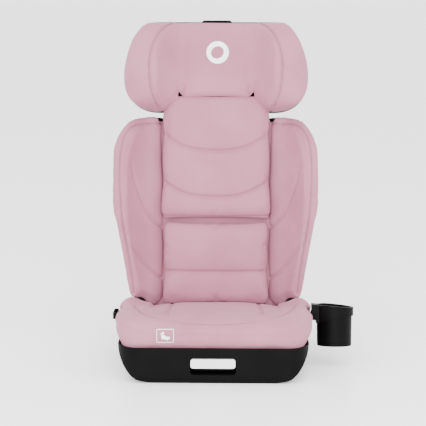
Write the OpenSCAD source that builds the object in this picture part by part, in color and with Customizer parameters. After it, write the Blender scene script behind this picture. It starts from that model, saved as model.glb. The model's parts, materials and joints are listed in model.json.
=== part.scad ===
// Highback booster seat: a base with a seat cushion, a hinged backrest, a height-adjustable
// headrest, retractable rear connectors and a side cup holder.
// Front is -Y, up is +Z, the origin is at the middle of the flat underside.

/* [Base] */
// Half width of the base casing at its rim
base_half_w = 203; // [195:1:210]
// Height of the base casing's rim above the ground
base_h = 76; // [72:1:80]
// Front of the base casing
base_front_y = -200; // [-210:1:-190]
// Rear of the base casing
base_rear_y = 190; // [184:1:196]
// Wall thickness of the moulded casings
wall = 3.5; // [3:0.5:4]

/* [Cushion] */
// Half width of the seat cushion
cushion_half_w = 215; // [210:1:216]
// Height of the cushion's side bolsters above the ground
cushion_top = 122; // [118:1:124]
// Height of the cushion's middle at its rear
cushion_rear_z = 97; // [92:1:98]

/* [Backrest] */
// Lean of the backrest from the vertical, in degrees
lean = 10; // [8:1:12]
// Half width over the back wings
back_half_w = 229; // [222:1:235]
// Height of the wings' top above the recline axis, along the backrest
back_top = 438; // [430:1:444]

/* [Headrest] */
// Half width of the headrest
head_half_w = 209; // [200:1:215]
// Bottom of the headrest above the recline axis, along the backrest
head_bottom = 450; // [448:1:455]
// Top of the headrest above the recline axis, along the backrest
head_top = 657; // [645:1:660]
// Distance between the height rack's holes
rack_pitch = 15; // [12:1:18]

/* [Connectors] */
// Distance between the two rear connectors' middles
connector_pitch = 280; // [276:1:284]
// Radius of the slot that takes the vehicle's anchor bar
anchor_slot_r = 3.3; // [3.2:0.1:3.6]

/* [Cup holder] */
// Inner radius of the cup
cup_r = 36; // [34:0.5:36]
// Middle of the cup, sideways
cup_x = 264; // [262:1:268]
// Middle of the cup, front to back
cup_y = -30; // [-36:1:-24]
// Lean of the cup from the vertical, in degrees
cup_lean = 9; // [0:1:12]

/* [Hidden] */
$fn = 64;

fabric_pink = [0.80, 0.66, 0.71];
pad_pink = [0.83, 0.69, 0.74];
plastic_black = [0.12, 0.12, 0.12];
plastic_grey = [0.88, 0.88, 0.89];
steel = [0.62, 0.63, 0.65];
foam_grey = [0.75, 0.75, 0.72];

gap = 0.5;            // clearance between neighbouring pieces
far = 900;            // reach of the cutting blocks
hinge_y = 150;        // recline axis
hinge_z = 80;
pin_r = 5;
run_fit = 0.05;       // radial clearance of a running fit
ear_r = 14;
hinge_x = 95;         // middle of each hinge
deck_y = 100;         // where the rim steps down to the rear deck
deck_z = 52;
floor_t = 8;          // thickness of the base's floor
corner_r = 48;

// Backrest depths, front negative, measured from the recline axis square to the backrest
shell_rear = 14;
shell_front = -41;
liner_front = -46;
lumbar_front = -79;
wing_rim = -152;
wing_edge = -62;      // front edge of the plastic shell's wings
wing_foot = 32;       // underside of the wings
pad_half_w = 124;
spine_half_w = 60;
spine_front = -16.5;
spine_top = 590;
rail_in = 28;         // inner edge of the guide rails
rail_out = 44;
rail_foot = 150;
stem_half_w = 33.5;
stem_rear = -21;
stem_front = -26;
latch_w = 244;
back_screw_w = [185, 375];
hem_w = 205;          // lower hem of the upper back pad
head_rear = -34;
head_mid = 528;       // height of the headrest's widest line
head_split = -62;     // face between the headrest's shell and its padding
adjuster_w = 640;

// Cup holder's sockets
socket_x0 = 213;
socket_x1 = 223;
socket_half_y = 20;
socket_top = 114;

// Rear connectors
arm_x = connector_pitch / 2;
arm_z = 28;
arm_tip = 240;
bar_y = 224;
jaw_y = 206;
jaw_z = 33;

// ---------- outline helpers ----------

// Points of a superellipse arc: centre, half axes, exponent and the angles it runs through
function arc_points(c, a, b, e, t0, t1, n = 14) = [
    for (i = [0:n])
        let (t = t0 + (t1 - t0) * i / n)
        [c[0] + a * sign(cos(t)) * pow(abs(cos(t)), 2 / e),
         c[1] + b * sign(sin(t)) * pow(abs(sin(t)), 2 / e)]
];

// An outline given for x >= 0, bottom to top, and its mirror image
module both_halves(half) {
    polygon(concat(half, [for (i = [len(half) - 1:-1:0]) [-half[i][0], half[i][1]]]));
}

module rounded_rect(x0, x1, y0, y1, r) {
    translate([x0 + r, y0]) square([x1 - x0 - 2 * r, y1 - y0]);
    translate([x0, y0 + r]) square([x1 - x0, y1 - y0 - 2 * r]);
    for (x = [x0 + r, x1 - r], y = [y0 + r, y1 - r])
        translate([x, y]) circle(r);
}

// Stand an outline drawn in X and Z up along Y
module along_y(y0, y1) {
    translate([0, y1, 0]) rotate([90, 0, 0]) linear_extrude(y1 - y0) children();
}

// Stand an outline drawn in Y and Z up along X
module along_x(x0, x1) {
    translate([x0, 0, 0]) rotate([90, 0, 90]) linear_extrude(x1 - x0) children();
}

module along_z(z0, z1) {
    translate([0, 0, z0]) linear_extrude(z1 - z0) children();
}

module block(x0, x1, y0, y1, z0, z1) {
    translate([x0, y0, z0]) cube([x1 - x0, y1 - y0, z1 - z0]);
}

module rod_x(x0, x1, y, z, r) {
    translate([x0, y, z]) rotate([0, 90, 0]) cylinder(h = x1 - x0, r = r);
}

module rod_y(y0, y1, x, z, r) {
    translate([x, y0, z]) rotate([-90, 0, 0]) cylinder(h = y1 - y0, r = r);
}

// side is -1 for the left piece and 1 for the right one; pieces are drawn on the right
module on_side(side) {
    if (side > 0) children();
    else mirror([1, 0, 0]) children();
}

// Place what is drawn in the backrest's own upright frame
module in_backrest() {
    translate([0, hinge_y, hinge_z]) rotate([-lean, 0, 0]) children();
}

module coil(r, wire, turns, length) {
    sides = 6;
    steps = 12;
    rings = turns * steps;
    function at(i) = let (a = 360 * i / steps)
        [for (k = [0:sides - 1]) let (b = 360 * k / sides)
            [(r + wire * cos(b)) * cos(a), (r + wire * cos(b)) * sin(a),
             length * i / rings + wire * sin(b)]];
    polyhedron(
        points = [for (i = [0:rings]) each at(i)],
        faces = concat(
            [[for (k = [0:sides - 1]) k]],
            [[for (k = [sides - 1:-1:0]) rings * sides + k]],
            [for (i = [0:rings - 1], k = [0:sides - 1])
                [i * sides + k, (i + 1) * sides + k,
                 (i + 1) * sides + (k + 1) % sides, i * sides + (k + 1) % sides]]));
}

// ---------- base ----------

module base_front_outline(t) {
    side = arc_points([155, base_h], base_half_w - 155 - t, base_h - 5 - t, 1.6, -90, 0);
    both_halves(concat([[0, t], [132, t]], side, [[base_half_w - t, 2 * base_h], [0, 2 * base_h]]));
}

module base_side_outline(t) {
    polygon([[base_front_y + 4 + t, t], [base_front_y + 1 + t, 4 + t],
        [base_front_y + t, 10], [base_front_y + t, base_h + t],
        [deck_y - t, base_h + t], [deck_y - t, base_h - t],
        [deck_y + 18 - t, deck_z - t], [base_rear_y - t, deck_z - t],
        [base_rear_y - t, 14], [base_rear_y - 8 - t, t]]);
}

module base_plan(t) {
    rounded_rect(-base_half_w + t, base_half_w - t, base_front_y + t, base_rear_y - t,
        corner_r - t);
}

module base_solid(t) {
    intersection() {
        along_z(-1, base_h + t) base_plan(t);
        along_y(-far, far) base_front_outline(t);
        along_x(-far, far) base_side_outline(t);
    }
}

module at_cover_screws() {
    for (x = [-114, 114], y = [-120, 0, 120])
        translate([x, y, 0]) children();
}

handle_half_w = 48;
handle_z0 = 33;
handle_z1 = 54;
slot_z0 = 19;

module handle_slot(t) {
    along_y(base_front_y - 20, base_front_y + 20)
        rounded_rect(-handle_half_w - t, handle_half_w + t, slot_z0 - t, handle_z1 + t, 7);
}

module base_shell() {
    color(plastic_black) difference() {
        base_solid(0);
        intersection() {
            base_solid(wall);
            block(-far, far, -far, far, floor_t, far);
        }
        block(-112, 112, -142, 142, -1, floor_t + 1);
        block(-120, 120, -150, 150, -1, 4.2);
        at_cover_screws() translate([0, 0, 4]) cylinder(h = 6, r = 2.1);
        handle_slot(0.5);
        for (x = [-arm_x, arm_x])
            block(x - 16, x + 16, base_rear_y - 15, base_rear_y + 5, 15, 46);
    }
}

module bottom_cover() {
    color([0.16, 0.16, 0.16]) difference() {
        union() {
            along_z(0, 4) rounded_rect(-119.5, 119.5, -149.5, 149.5, 2);
            for (x = [-60, 0, 60])
                block(x - 1.5, x + 1.5, -130, -20, 4, 12);
        }
        at_cover_screws() {
            translate([0, 0, -1]) cylinder(h = 6, r = 2.1);
            translate([0, 0, -1]) cylinder(h = 3.4, r = 4.3);
        }
    }
}

module base_screws() {
    color(steel) at_cover_screws() {
        translate([0, 0, 0.2]) cylinder(h = 2, r = 4);
        translate([0, 0, 2]) cylinder(h = 9, r = 2);
    }
}

module seat_pan() {
    pan_z = 66;
    color([0.2, 0.2, 0.2]) difference() {
        intersection() {
            along_z(pan_z, pan_z + 4) base_plan(wall + gap);
            along_y(-far, far) base_front_outline(wall + gap);
            block(-far, far, -far, deck_y - wall - gap, 0, far);
        }
        for (x = [-130, 0, 130], y = [-120, -40, 40])
            translate([x, y, 0]) cylinder(h = 100, r = 18);
    }
}

cushion_front_y = -207;
cushion_rear_y = 88;
cushion_side_rear_y = 62;

module cushion_plan(t) {
    front = arc_points([120, -60], cushion_half_w - 120 - t, cushion_front_y + 60 + t, 2.5, 90, 0, 14);
    rear = arc_points([175, cushion_side_rear_y - 40], cushion_half_w - 175 - t, 40 - t, 2, 0, 90, 6);
    both_halves(concat([[0, cushion_front_y + t]], front, rear, [[0, cushion_side_rear_y - t]]));
    translate([-125 + t, -60]) square([250 - 2 * t, 60 + cushion_rear_y - t]);
}

module cushion_front_outline(t) {
    lower = base_h + gap;
    side = arc_points([cushion_half_w - 26, 100], 26 - t, cushion_top - 100 - t, 2.4, -62, 90);
    both_halves(concat([[0, lower]], [[cushion_half_w - 13 - t, lower]], side,
        [[120, 121 - t], [0, 119 - t]]));
}

module cushion_side_outline(t) {
    nose = arc_points([cushion_front_y + 26, 99], -26 + t, cushion_top - 99 - t, 2, -62, 90);
    polygon(concat([[cushion_front_y + 14 + t, base_h + gap]], nose,
        [[-60, cushion_top - 1 - t], [cushion_rear_y - t, cushion_top - 1 - t],
         [cushion_rear_y - t, base_h + gap]]));
}

module cushion_solid(t) {
    difference() {
        intersection() {
            along_z(base_h + gap, 140) cushion_plan(t);
            along_y(-far, far) cushion_front_outline(t);
            along_x(-far, far) cushion_side_outline(t);
        }
        // the middle slopes down towards the backrest
        along_x(-150 - t, 150 + t)
            polygon([[-150, 122 - t], [cushion_rear_y + 4, cushion_rear_z - t],
                [cushion_rear_y + 4, 150], [-150, 150]]);
    }
}

module socket_pockets() {
    for (side = [-1, 1]) on_side(side)
        block(196.5, far, cup_y - socket_half_y - gap, cup_y + socket_half_y + gap, base_h,
            socket_top + gap);
}

module seat_foam() {
    color(foam_grey) difference() {
        union() {
            cushion_solid(4);
            intersection() {
                along_z(70.5, base_h + 1) base_plan(wall + 1);
                block(-far, far, -far, cushion_side_rear_y - 10, 0, far);
            }
        }
        socket_pockets();
    }
}

module seat_cover() {
    color(fabric_pink) difference() {
        cushion_solid(0);
        cushion_solid(3.5);
        along_z(0, base_h + 5) base_plan(wall);
        socket_pockets();
    }
}

module label_patch() {
    color([0.95, 0.95, 0.95]) block(-118, -82, cushion_front_y - 1.2, cushion_front_y - 0.4, 92, 120);
}

module lap_belt_guide(side) {
    color(plastic_black) on_side(side)
        along_y(65, 79) {
            translate([158, 70.5]) square([30, 36]);
            translate([173, 104]) intersection() {
                circle(15);
                translate([-15, -6]) square([30, 21]);
            }
        }
}
module lap_belt_guide_left() { lap_belt_guide(-1); }
module lap_belt_guide_right() { lap_belt_guide(1); }

// Sockets for the cup holder: they stand on the casing's rim, in pockets of the cushion's sides
module cup_socket(side) {
    color(plastic_black) on_side(side) difference() {
        union() {
            block(197, socket_x0 + 1, cup_y - 18, cup_y + 18, base_h, 84);
            block(204, socket_x0 + 1, cup_y - 18, cup_y + 18, base_h, 110);
            block(socket_x0, socket_x1, cup_y - socket_half_y, cup_y + socket_half_y, 100, socket_top);
        }
        block(socket_x0 + 1.6, socket_x1 - 1.6, cup_y - 16, cup_y + 16, 102, socket_top + 1);
    }
}
module cup_socket_left() { cup_socket(-1); }
module cup_socket_right() { cup_socket(1); }

module hinge_bracket(side) {
    color(steel) on_side(side) difference() {
        union() {
            for (x = [hinge_x - 24, hinge_x + 11])
                along_x(x, x + 13) {
                    translate([hinge_y, hinge_z]) circle(ear_r);
                    translate([hinge_y - ear_r, deck_z]) square([2 * ear_r, hinge_z - deck_z]);
                }
            block(hinge_x - 24, hinge_x + 24, hinge_y - ear_r, hinge_y + ear_r, deck_z, deck_z + 4);
        }
        rod_x(0, far, hinge_y, hinge_z, pin_r + run_fit);
    }
}
module hinge_bracket_left() { hinge_bracket(-1); }
module hinge_bracket_right() { hinge_bracket(1); }

module hinge_pins() {
    color(steel) for (side = [-1, 1]) on_side(side) {
        rod_x(hinge_x - 26, hinge_x + 26, hinge_y, hinge_z, pin_r);
        rod_x(hinge_x + 24.5, hinge_x + 28, hinge_y, hinge_z, pin_r + 3);
    }
}

module connector_housing(side) {
    color([0.18, 0.18, 0.18]) on_side(side) difference() {
        block(arm_x - 17, arm_x + 17, 0, 170, arm_z - 14, arm_z + 14);
        block(arm_x - 13.5, arm_x + 13.5, -1, 171, arm_z - 10.5, arm_z + 10.5);
        // slot for the crossbar's end to travel along
        block(arm_x - 18, arm_x - 13, 15, 146, arm_z - 8.6, arm_z + 2.6);
    }
}
module connector_housing_left() { connector_housing(-1); }
module connector_housing_right() { connector_housing(1); }

module handle_bezel() {
    color([0.09, 0.09, 0.09]) difference() {
        along_y(base_front_y + wall + 0.3, base_front_y + 34)
            rounded_rect(-handle_half_w - 5, handle_half_w + 5, slot_z0 - 5, handle_z1 + 5, 9);
        along_y(base_front_y - 5, base_front_y + 30)
            rounded_rect(-handle_half_w, handle_half_w, slot_z0, handle_z1, 7);
        rod_y(base_front_y, base_front_y + 40, 0, 44, 4.5);
    }
}

pawl_y = 17;
module pawl_guide() {
    color([0.18, 0.18, 0.18]) difference() {
        block(-15, 15, pawl_y - 9, pawl_y + 9, 46, 65.7);
        block(-9.5, 9.5, pawl_y - 4.5, pawl_y + 4.5, 45, 66);
        block(-4, 4, pawl_y - 10, pawl_y, 45, 49);
    }
}

// ---------- rear connector carriage ----------

module carriage_crossbar() {
    color(steel) difference() {
        union() {
            block(-arm_x + 12.8, arm_x - 12.8, 22, 42, 20, 30);
            block(-10, 10, -85, 22.5, 20, 28);
        }
        for (i = [0:7])
            block(-11, 11, -78 + 12.5 * i, -72 + 12.5 * i, 25, 29);
        for (x = [-80, -40, 0, 40, 80])
            translate([x, 32, 0]) cylinder(h = 40, r = 6);
    }
}

module connector_arm(side) {
    color(steel) on_side(side) difference() {
        block(arm_x - 13, arm_x + 13, 10, arm_tip, arm_z - 10, arm_z + 10);
        // hollow rear end of the tube and the crossbar's seat
        block(arm_x - 10, arm_x + 10, 9, 180, arm_z - 7, arm_z + 7);
        block(arm_x - 14, arm_x - 12.6, 21.7, 42.3, 19.7, 30.3);
        // anchor bar slot
        rod_x(arm_x - 20, arm_x + 20, bar_y, arm_z, anchor_slot_r);
        block(arm_x - 20, arm_x + 20, bar_y, arm_tip + 1, arm_z - anchor_slot_r,
            arm_z + anchor_slot_r);
        // slit for the jaw, its pivot bore and the button's well
        block(arm_x - 3, arm_x + 3, jaw_y - 7, arm_tip + 1, arm_z - 6, arm_z + 11);
        rod_x(arm_x - 14, arm_x + 14, jaw_y, jaw_z, 2.5 + run_fit);
        block(arm_x - 6.3, arm_x + 6.3, 189.5, 198.5, arm_z, arm_z + 11);
    }
}
module connector_arm_left() { connector_arm(-1); }
module connector_arm_right() { connector_arm(1); }

module jaw_pins() {
    color(steel) for (side = [-1, 1]) on_side(side)
        rod_x(arm_x - 12.5, arm_x + 12.5, jaw_y, jaw_z, 2.5);
}

module jaw(side) {
    hook_y = bar_y + anchor_slot_r + 1;
    color([0.45, 0.46, 0.48]) on_side(side) difference() {
        along_x(arm_x - 2.6, arm_x + 2.6)
            polygon([[jaw_y - 5, arm_z + 2], [jaw_y - 5, arm_z + 9.5], [hook_y + 5, arm_z + 9.5],
                [hook_y + 5, arm_z - 3], [hook_y, arm_z - 3], [hook_y - 1, arm_z + 4.5],
                [jaw_y + 12, arm_z + 4.5], [jaw_y + 8, arm_z + 1]]);
        rod_x(arm_x - 14, arm_x + 14, jaw_y, jaw_z, 2.5 + run_fit);
    }
}
module jaw_left() { jaw(-1); }
module jaw_right() { jaw(1); }

module release_button(side) {
    color([0.75, 0.12, 0.1]) on_side(side)
        block(arm_x - 5.8, arm_x + 5.8, 190, 198, arm_z + 4, arm_z + 13);
}
module release_button_left() { release_button(-1); }
module release_button_right() { release_button(1); }

// ---------- front handle and lock ----------

module pull_handle() {
    color(plastic_grey) difference() {
        along_y(base_front_y - 1, base_front_y + 11)
            rounded_rect(-handle_half_w + 1, handle_half_w - 1, handle_z0, handle_z1 - 1, 6);
        // finger relief behind the lower edge
        block(-handle_half_w + 8, handle_half_w - 8, base_front_y + 4, base_front_y + 12,
            handle_z0 - 1, handle_z0 + 5);
        rod_y(base_front_y + 5, base_front_y + 12, 0, 44, 4);
    }
}

module handle_rod() {
    color(steel) {
        rod_y(base_front_y + 5.2, 0, 0, 44, 3.9);
        rod_y(-108, -104, 0, 44, 9);
        block(-3.5, 3.5, -4, 8, 41, 48);
    }
}

module handle_spring() {
    color(steel) translate([0, base_front_y + 36, 44]) rotate([-90, 0, 0]) coil(7, 0.8, 6, 40);
}

module lock_pawl() {
    color([0.5, 0.5, 0.52]) block(-9, 9, pawl_y - 4, pawl_y + 4, 29, 58);
}

// ---------- backrest, in its own upright frame ----------

module back_front_outline(t) {
    corner = arc_points([150, 290], back_half_w - 150 - t, back_top - 290 - t, 2.6, 0, 90, 18);
    both_halves(concat([[0, -5 + t], [140, -5 + t]],
        arc_points([140, 30], 50 - t, -35 + t, 2, 90, 0, 6),
        [[back_half_w - 4 - t, 240]], corner, [[0, back_top - t]]));
}

module back_plan(t) {
    corner = arc_points([140, -70], back_half_w - 140 - t, 84 - t, 2.4, 90, 0, 16);
    both_halves(concat([[0, shell_rear - t]], corner,
        [[back_half_w - 6 - t, wing_rim], [0, wing_rim]]));
}

module back_side_outline(t) {
    heel = arc_points([-16, back_top - 60], 30 - t, 60 - t, 2.2, 0, 90, 8);
    crest = arc_points([-55, 250], -97, back_top - 250 - t, 2.6, 90, 0, 12);
    toe = arc_points([wing_rim + 45, 110], -43, wing_foot - 110, 2.4, 0, 90, 8);
    polygon(concat([[shell_front - 2, -10], [shell_rear - 12 - t, -10], [shell_rear - t, 30]],
        heel, crest, toe, [[shell_front - 2, wing_foot]]));
}

module back_solid(t) {
    intersection() {
        along_z(-20, back_top) back_plan(t);
        along_y(-far, far) back_front_outline(t);
        along_x(-far, far) back_side_outline(t);
    }
}

module rear_ribs() {
    for (w = [90:62.5:560])
        block(-spine_half_w + 2, spine_half_w - 2, spine_front + 2, shell_rear - 2, w, w + 3);
}

module hinge_lug(side) {
    on_side(side) {
        block(hinge_x - 32, hinge_x + 32, shell_front + 1, shell_rear - 1, 22, 27);
        difference() {
            along_x(hinge_x - 10, hinge_x + 10) {
                circle(ear_r - 0.5);
                translate([-9, 0]) square([18, 24]);
            }
            rod_x(hinge_x - 20, hinge_x + 20, 0, 0, pin_r + run_fit);
        }
    }
}

module at_back_screws() {
    for (x = [-36, 36], w = back_screw_w)
        translate([x, 0, w]) children();
}

module back_shell() {
    color(plastic_black) in_backrest() {
        difference() {
            union() {
                difference() {
                    back_solid(0);
                    back_solid(wall);
                    block(-far, far, -far, wing_edge, -far, far);
                    block(-pad_half_w - 2, pad_half_w + 2, -far, shell_front, -far, far);
                    // room for the base's hinge brackets
                    for (side = [-1, 1]) on_side(side)
                        block(hinge_x - 32, hinge_x + 32, -60, 30, -30, 22);
                    block(-spine_half_w + wall, spine_half_w - wall, 0, 30, 40, 600);
                    // way for the rails and the headrest's stem
                    block(-rail_out - 3, rail_out + 3, -far, spine_front, 0, far);
                }
                difference() {
                    block(-spine_half_w, spine_half_w, spine_front, shell_rear, 26, spine_top);
                    block(-spine_half_w + wall, spine_half_w - wall, spine_front + wall,
                        shell_rear + 1, 40, spine_top - wall);
                }
                rear_ribs();
                for (side = [-1, 1]) hinge_lug(side);
            }
            at_back_screws() rotate([90, 0, 0]) translate([0, 0, -30]) cylinder(h = 60, r = 2.1);
        }
    }
}

module back_foam() {
    color(foam_grey) in_backrest() difference() {
        intersection() {
            back_solid(wall + gap);
            block(-pad_half_w, pad_half_w, shell_front + 0.3, shell_rear, 28, back_top - 5);
        }
        block(-spine_half_w - gap, spine_half_w + gap, -far, far, 0, far * 2);
    }
}

module back_liner() {
    color(fabric_pink) in_backrest()
        block(-pad_half_w, pad_half_w, liner_front + 0.2, shell_front - 0.2, 12, back_top - 6);
}

module lumbar_pad() {
    color(pad_pink) in_backrest()
        along_x(-118, 118)
            polygon(concat([[liner_front - 0.3, 9]],
                arc_points([liner_front - 0.3, 49], lumbar_front - liner_front, -40, 3, 90, 0, 8),
                arc_points([liner_front - 0.3, 150], lumbar_front - liner_front, 50, 3, 0, 90, 8)));
}

module wing_plan() {
    // inner face from the pad's edge out to the rim
    polygon(concat([[pad_half_w + 2, -50], [146, -60]],
        [for (i = [0:8]) let (u = i / 8) [152 + 58 * u, -64 - 84 * pow(u, 1.5)]],
        [[216, wing_rim], [back_half_w + 5, wing_rim], [back_half_w + 5, 30],
         [pad_half_w + 2, 30]]));
}

module wing_pad(side) {
    color(fabric_pink) in_backrest() on_side(side) difference() {
        intersection() {
            union() {
                back_solid(wall + gap);
                intersection() {
                    back_solid(0);
                    block(0, far, -far, wing_edge - gap, -far, far);
                }
            }
            along_z(-20, back_top) wing_plan();
        }
        block(hinge_x - 34, hinge_x + 34, -60, 30, -30, 28);
    }
}
module wing_pad_left() { wing_pad(-1); }
module wing_pad_right() { wing_pad(1); }

module guide_rail(side) {
    color(steel) in_backrest() on_side(side) difference() {
        block(rail_in, rail_out, -31, spine_front - 0.3, rail_foot, spine_top - 10);
        block(rail_in - 1, stem_half_w + 0.4, stem_front - 0.4, stem_rear + 0.4, 0, far * 2);
        for (w = back_screw_w)
            rod_y(-32, 0, 36, w, 2.1);
    }
}
module guide_rail_left() { guide_rail(-1); }
module guide_rail_right() { guide_rail(1); }

module rack_plate() {
    color(steel) in_backrest() difference() {
        block(-13, 13, spine_front - 2, spine_front - 0.2, 225, 385);
        for (i = [0:7])
            rod_y(-30, 0, 0, latch_w + rack_pitch * i, 3.4);
    }
}

module back_screws() {
    color([0.35, 0.35, 0.36]) in_backrest() at_back_screws() rotate([-90, 0, 0]) {
        translate([0, 0, -20.3]) cylinder(h = 12, r = 2);
        translate([0, 0, -12.6]) cylinder(h = 2.6, r = 4.5);
    }
}

// ---------- headrest, in the backrest's frame ----------

module head_front_outline(t) {
    lower = arc_points([130, head_mid], head_half_w - 130 - t, head_bottom - head_mid + t, 2.3,
        90, 0, 12);
    // drop below the top and distance in from the widest line, from the middle height upwards
    upper = [for (p = [[115, 1], [95, 4.5], [74, 11.5], [51, 21.5], [29, 33], [12.5, 43.5],
            [4, 52], [0.4, 63], [0, 79]])
        [head_half_w - p[1] - t, head_top - p[0] - t]];
    both_halves(concat([[0, head_bottom + t]], lower, upper, [[0, head_top - t]]));
}

module head_plan(t) {
    rear = arc_points([130, -100], head_half_w - 130 - t, 100 + head_rear - t, 2.4, 90, 0, 10);
    front = arc_points([148, -105], head_half_w - 148 - t, -52, 2, 0, 90, 10);
    inner = [for (i = [0:7]) let (u = i / 7) [141 - 63 * u, -156 + 72 * sin(90 * u)]];
    both_halves(concat([[0, head_rear - t]], rear, front, inner, [[0, -84]]));
}

module head_side_outline(t) {
    crest = arc_points([-60, 560], -97 + t, head_top - 560 - t, 2.4, 90, 0, 12);
    chin = arc_points([-60, 492], -97 + t, head_bottom - 492 + t, 2.2, 0, 90, 10);
    polygon(concat([[0, head_bottom + t], [0, head_top - t]], crest, chin));
}

module head_solid(t) {
    intersection() {
        along_z(400, 700) head_plan(t);
        along_y(-far, far) head_front_outline(t);
        along_x(-far, far) head_side_outline(t);
    }
}

module belt_guide_room(t) {
    for (side = [-1, 1]) on_side(side)
        block(83 - t, 121 + t, head_split - 1 - t, 0, 0, 474 + t);
}

module stem_boss() {
    block(-27, 27, head_rear + 0.1, stem_front + 0.1, 470, 636);
}

module at_head_screws() {
    for (x = [-16, 16], w = [490, 560, 620])
        translate([x, 0, w]) children();
}

module headrest_shell() {
    color(plastic_black) in_backrest() difference() {
        head_solid(0);
        head_solid(wall);
        block(-far, far, -far, head_split, 0, 800);
        belt_guide_room(0);
        at_head_screws() rotate([90, 0, 0]) cylinder(h = 60, r = 2.1);
    }
}

module headrest_foam() {
    color(foam_grey) in_backrest() difference() {
        intersection() {
            head_solid(wall + gap);
            block(-95, 95, head_split + 0.3, 0, 0, 800);
        }
        belt_guide_room(gap);
        at_head_screws() rotate([90, 0, 0]) translate([0, 0, 30]) cylinder(h = 16, r = 5.5);
    }
}

module headrest_center_pad() {
    color(pad_pink) in_backrest() intersection() {
        head_solid(0);
        block(-80, 80, -far, head_split - 0.3, head_bottom + 26, 800);
    }
}

module headrest_wing(side) {
    color(fabric_pink) in_backrest() on_side(side) difference() {
        union() {
            intersection() {
                head_solid(0);
                block(80.5, far, -far, head_split - 0.3, 0, 800);
            }
            intersection() {
                head_solid(wall + gap);
                block(95.5, far, head_split - 1, 0, 0, 800);
            }
        }
        belt_guide_room(gap);
    }
}
module headrest_wing_left() { headrest_wing(-1); }
module headrest_wing_right() { headrest_wing(1); }

module headrest_stem() {
    color([0.25, 0.25, 0.26]) in_backrest() difference() {
        union() {
            block(-stem_half_w, stem_half_w, stem_front, stem_rear, 230, 636);
            stem_boss();
        }
        rod_y(-40, 0, 0, latch_w, 3 + run_fit);
        at_head_screws() rotate([90, 0, 0]) cylinder(h = 60, r = 2.1);
        // lightening windows
        for (w = [270:60:420])
            block(-22, 22, -40, 0, w, w + 40);
    }
}

module upper_back_pad() {
    color(pad_pink) in_backrest() {
        along_x(-pad_half_w, pad_half_w)
            polygon(concat(
                arc_points([liner_front - 0.3, 250], -31, -45, 3, 90, 0, 8),
                [[liner_front - 31, 420], [liner_front - 20, 444], [liner_front - 0.3, 444]]));
        block(-79, 79, liner_front - 30, head_split - 0.5, 443, head_bottom + 25.5);
    }
}

module belt_guide(side) {
    color(plastic_black) in_backrest() on_side(side) difference() {
        along_y(head_split + 1, head_rear - 1) rounded_rect(84, 120, 451, 473.5, 6);
        // belt slot with its lead-in
        block(90, 114, -80, 0, 454, 466);
        block(98, 102, -80, 0, 440, 460);
    }
}
module belt_guide_left() { belt_guide(-1); }
module belt_guide_right() { belt_guide(1); }

module badge_patch() {
    color([0.95, 0.95, 0.95]) in_backrest()
        difference() {
            rod_y(-85.6, -84.3, 4, 584, 25);
            rod_y(-90, -80, 4, 584, 15);
        }
}

module headrest_screws() {
    color([0.35, 0.35, 0.36]) in_backrest() at_head_screws() rotate([90, 0, 0]) {
        translate([0, 0, 26]) cylinder(h = 14, r = 2);
        translate([0, 0, 38]) cylinder(h = 3, r = 4.5);
    }
}

module adjuster_handle() {
    color([0.15, 0.15, 0.15]) in_backrest() {
        difference() {
            along_y(head_rear + 0.6, -16)
                rounded_rect(-36, 36, adjuster_w, head_top + 8, 8);
            block(-25, 25, -40, 0, adjuster_w + 7, head_top);
        }
        block(-6, 6, -20.6, -19.2, 256, adjuster_w + 4);
        // tab that works the return spring through the stem's window
        block(-4, 4, -25.5, -20.6, 272, 275);
    }
}

module adjuster_spring() {
    color(steel) in_backrest() translate([0, (stem_front + stem_rear) / 2, 284.5])
        coil(1.95, 0.45, 6, 24.5);
}

module latch_pin() {
    color(steel) in_backrest() {
        rod_y(-29, -18.9, 0, latch_w, 3);
        rod_y(-31, -28.5, 0, latch_w, 6);
    }
}

// ---------- cup holder ----------

collar_r = 42;
cup_floor = 40;
collar_z0 = 132;      // collar's top at its seat side and at its outer side
collar_z1 = 121;

// Side view of the collar: its top slopes outwards and its underside rises
module collar_outline() {
    polygon([[cup_x - 60, 86], [cup_x - 30, 92], [cup_x + 6, 105], [cup_x + 60, 107],
        [cup_x + 60, collar_z1], [cup_x - 60, collar_z0]]);
}

module leaning_cup() {
    translate([cup_x, cup_y, 90]) rotate([-cup_lean, 0, 0]) translate([-cup_x, -cup_y, -90])
        children();
}

module cup_bracket() {
    tongue_gap = 2.1;
    color(plastic_black) {
        difference() {
            // ring and arm, whose underside rises away from the seat
            leaning_cup() difference() {
                intersection() {
                    union() {
                        translate([cup_x, cup_y, 84]) cylinder(h = 56, r = collar_r);
                        block(socket_x0 + 1, cup_x, cup_y - 24, cup_y + 24, 84, 140);
                    }
                    along_y(-far, far) collar_outline();
                }
                translate([cup_x, cup_y, 0]) cylinder(h = 200, r1 = 38.3, r2 = 41);
            }
            block(0, socket_x1 + gap, -far, far, 0, socket_top + gap);
        }
        block(socket_x0 + tongue_gap, socket_x1 - tongue_gap, cup_y - 15, cup_y + 15, 103,
            socket_top + 4);
    }
}

module cup() {
    lip = 1.6;
    color(plastic_black) leaning_cup() difference() {
        union() {
            intersection() {
                translate([cup_x, cup_y, cup_floor]) cylinder(h = 90, r1 = 37.8, r2 = 39);
                along_y(-far, far)
                    polygon([[cup_x - 60, 0], [cup_x + 60, 0],
                        [cup_x + 60, collar_z1 + lip], [cup_x - 60, collar_z0 + lip]]);
            }
            // lip that rests on the collar
            intersection() {
                translate([cup_x, cup_y, cup_floor]) cylinder(h = 90, r = collar_r + 0.5);
                along_y(-far, far)
                    polygon([[cup_x + 60, collar_z1 + 0.1], [cup_x + 60, collar_z1 + lip],
                        [cup_x - 60, collar_z0 + lip], [cup_x - 60, collar_z0 + 0.1]]);
            }
        }
        translate([cup_x, cup_y, cup_floor + 3]) cylinder(h = 200, r = cup_r);
    }
}

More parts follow.
